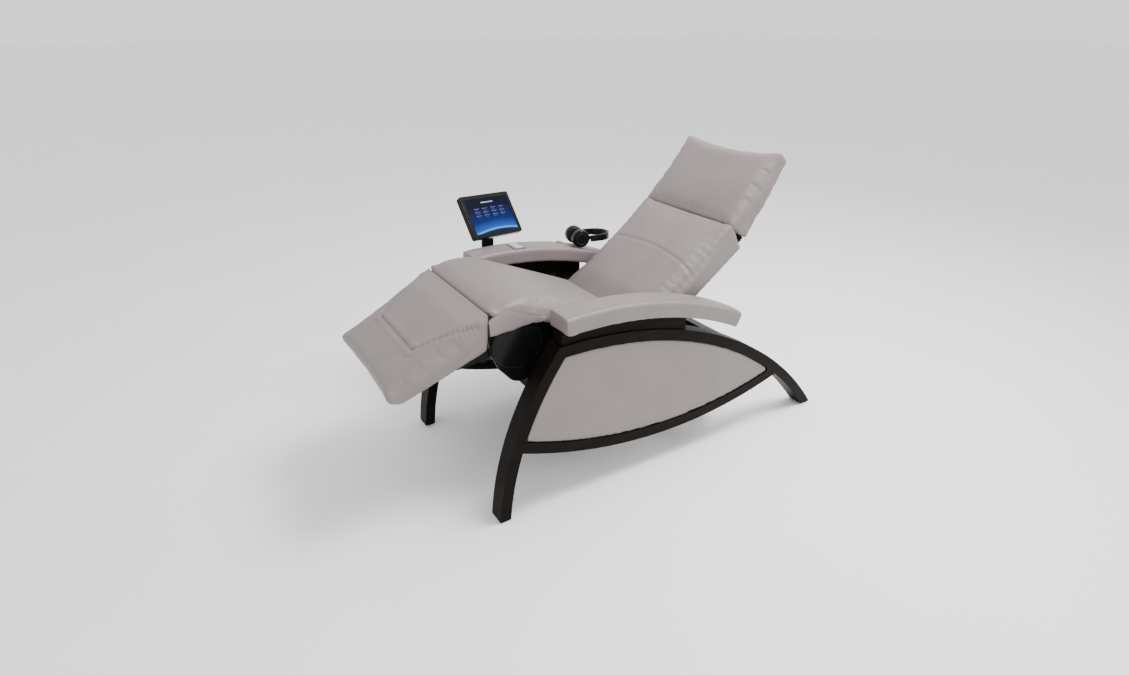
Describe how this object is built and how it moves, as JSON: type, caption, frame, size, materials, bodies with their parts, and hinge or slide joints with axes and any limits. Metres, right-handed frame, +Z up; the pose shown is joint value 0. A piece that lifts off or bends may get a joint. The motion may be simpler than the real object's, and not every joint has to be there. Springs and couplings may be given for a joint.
{
  "type": "reclining massage chair",
  "caption": "Zero-gravity massage chair: padded sections hinged between curved wooden side frames, with a tablet on a post, an armrest control panel and headphones.",
  "frame": {"origin": "on the floor, at the centre of the four feet and on the chair's mid-plane", "axes": "+X towards the sitter's left, +Y from the foot end towards the head end, +Z up"},
  "size_m": [0.9198, 1.8106, 1.0791],
  "materials": {
    "leather": "satin",
    "wood": "satin",
    "plywood": "matt",
    "steel": "satin",
    "rod_steel": "brushed",
    "bolts": "satin",
    "black_plastic": "matt",
    "gloss_black": "gloss",
    "button_grey": "satin",
    "panel_taupe": "satin",
    "glides": "matt",
    "black_fabric": "matt",
    "display": "gloss"
  },
  "bodies": {
    "base": {"left_front_leg": "wood", "right_front_leg": "wood", "left_arch_rail": "wood", "right_arch_rail": "wood", "left_lower_rail": "wood", "right_lower_rail": "wood", "side_panels": "plywood", "left_side_pad": "leather", "right_side_pad": "leather", "arm_risers": "wood", "armrest_boards": "plywood", "left_armrest_pad": "leather", "right_armrest_pad": "leather", "foot_glides": "glides", "front_stretcher": "wood", "rear_stretcher": "wood", "rear_cross_rail": "wood", "pivot_posts": "steel", "frame_bolts": "bolts", "control_box": "black_plastic", "power_inlet": "gloss_black", "tilt_bracket": "steel", "tablet_bracket": "steel", "control_bezel": "panel_taupe"},
    "seat": {"seat_rails": "steel", "seat_cross_plates": "steel", "seat_board": "plywood", "seat_cushion": "leather", "knee_shrouds": "black_plastic", "knee_covers": "gloss_black", "knee_pins": "rod_steel", "seat_transducers": "black_plastic"},
    "back": {"back_frame": "steel", "back_board": "plywood", "back_cushion": "leather", "back_transducers": "black_plastic", "back_cover": "black_fabric", "head_brackets": "steel"},
    "head": {"head_cushion": "leather", "head_board": "plywood", "head_hinge_leaves": "steel"},
    "leg_rest": {"leg_cushion": "leather", "leg_board": "plywood", "leg_frame": "steel"},
    "tilt_actuator": {"tilt_actuator": "black_plastic"},
    "tilt_rod": {"tilt_rod": "rod_steel"},
    "back_actuator": {"back_actuator": "black_plastic"},
    "back_rod": {"back_rod": "rod_steel"},
    "leg_actuator": {"leg_actuator": "black_plastic"},
    "leg_rod": {"leg_rod": "rod_steel"},
    "recline_rocker": {"recline_rocker": "button_grey"},
    "leg_rocker": {"leg_rocker": "button_grey"},
    "intensity_dial": {"intensity_dial": "panel_taupe"},
    "tablet_post": {"tablet_post": "steel"},
    "tablet": {"tablet_holder": "black_plastic", "tablet_case": "gloss_black", "tablet_screen": "display"},
    "headphones": {"headband": "black_plastic"},
    "near_ear_cup": {"near_ear_cup": "gloss_black"},
    "far_ear_cup": {"far_ear_cup": "gloss_black"}
  },
  "joints": [
    {"name": "seat_tilt", "type": "hinge", "parent": "base", "child": "seat", "pos_m": [0, -0.165, 0.4], "axis": [1, 0, 0], "range_deg": [0, 22]},
    {"name": "back_recline", "type": "hinge", "parent": "seat", "child": "back", "pos_m": [0, -0.11, 0.528], "axis": [1, 0, 0], "range_deg": [-8, 20]},
    {"name": "head_tilt", "type": "hinge", "parent": "back", "child": "head", "pos_m": [0, 0.296, 0.825], "axis": [1, 0, 0], "range_deg": [-10, 25]},
    {"name": "leg_rest_swing", "type": "hinge", "parent": "seat", "child": "leg_rest", "pos_m": [0, -0.615, 0.59], "axis": [1, 0, 0], "range_deg": [0, 25]},
    {"name": "tilt_actuator_pivot", "type": "hinge", "parent": "base", "child": "tilt_actuator", "pos_m": [0, 0.245, 0.26], "axis": [1, 0, 0], "range_deg": [-0.5, 1]},
    {"name": "tilt_rod_slide", "type": "slide", "parent": "tilt_actuator", "child": "tilt_rod", "axis": [0, -0.9998, 0.0222], "range_m": [-0.053, 0.001]},
    {"name": "back_actuator_pivot", "type": "hinge", "parent": "seat", "child": "back_actuator", "pos_m": [-0.07, -0.52, 0.49], "axis": [1, 0, 0], "range_deg": [-1.2, 2.8]},
    {"name": "back_rod_slide", "type": "slide", "parent": "back_actuator", "child": "back_rod", "axis": [0, 0.9835, -0.1809], "range_m": [-0.016, 0.038]},
    {"name": "leg_actuator_pivot", "type": "hinge", "parent": "seat", "child": "leg_actuator", "pos_m": [0.07, -0.215, 0.4], "axis": [1, 0, 0], "range_deg": [-0.3, 1.2]},
    {"name": "leg_rod_slide", "type": "slide", "parent": "leg_actuator", "child": "leg_rod", "axis": [0, -0.9798, 0.1998], "range_m": [-0.049, 0.001]},
    {"name": "recline_rocker_press", "type": "hinge", "parent": "base", "child": "recline_rocker", "pos_m": [-0.352, -0.307, 0.697], "axis": [1, 0, 0], "range_deg": [-4, 4], "stiffness_Nm_per_rad": 0.6},
    {"name": "leg_rocker_press", "type": "hinge", "parent": "base", "child": "leg_rocker", "pos_m": [-0.318, -0.307, 0.697], "axis": [1, 0, 0], "range_deg": [-4, 4], "stiffness_Nm_per_rad": 0.6},
    {"name": "intensity_turn", "type": "hinge", "parent": "base", "child": "intensity_dial", "pos_m": [-0.374, -0.08002, 0.65828], "axis": [0, 0.2198, 0.9755], "range_deg": [-150, 150]},
    {"name": "tablet_swivel", "type": "hinge", "parent": "base", "child": "tablet_post", "pos_m": [-0.436, -0.385, 0.58], "axis": [0, 0, 1], "range_deg": [-30, 60]},
    {"name": "tablet_tilt", "type": "hinge", "parent": "tablet_post", "child": "tablet", "pos_m": [-0.447, -0.385, 0.768], "axis": [-0.2484, 0.9665, -0.0643], "range_deg": [-30, 8]},
    {"name": "headphones_lift", "type": "slide", "parent": "base", "child": "headphones", "axis": [0, 0, 1], "range_m": [0, 0.25]},
    {"name": "near_ear_cup_swivel", "type": "hinge", "parent": "headphones", "child": "near_ear_cup", "pos_m": [-0.30896, -0.01301, 0.68859], "axis": [0.2079, 0.9781, 0], "range_deg": [-8, 8]},
    {"name": "far_ear_cup_swivel", "type": "hinge", "parent": "headphones", "child": "far_ear_cup", "pos_m": [-0.38904, 0.00401, 0.68401], "axis": [0.2079, 0.9781, 0], "range_deg": [-8, 8]}
  ],
  "couplings": [
    {"joint": "tilt_actuator_pivot", "follows": "seat_tilt", "ratio": 0.0389},
    {"joint": "tilt_rod_slide", "follows": "seat_tilt", "m_per_rad": -0.13423},
    {"joint": "back_actuator_pivot", "follows": "back_recline", "ratio": 0.1228},
    {"joint": "back_rod_slide", "follows": "back_recline", "m_per_rad": 0.10628},
    {"joint": "leg_actuator_pivot", "follows": "leg_rest_swing", "ratio": 0.0369},
    {"joint": "leg_rod_slide", "follows": "leg_rest_swing", "m_per_rad": -0.10998}
  ]
}
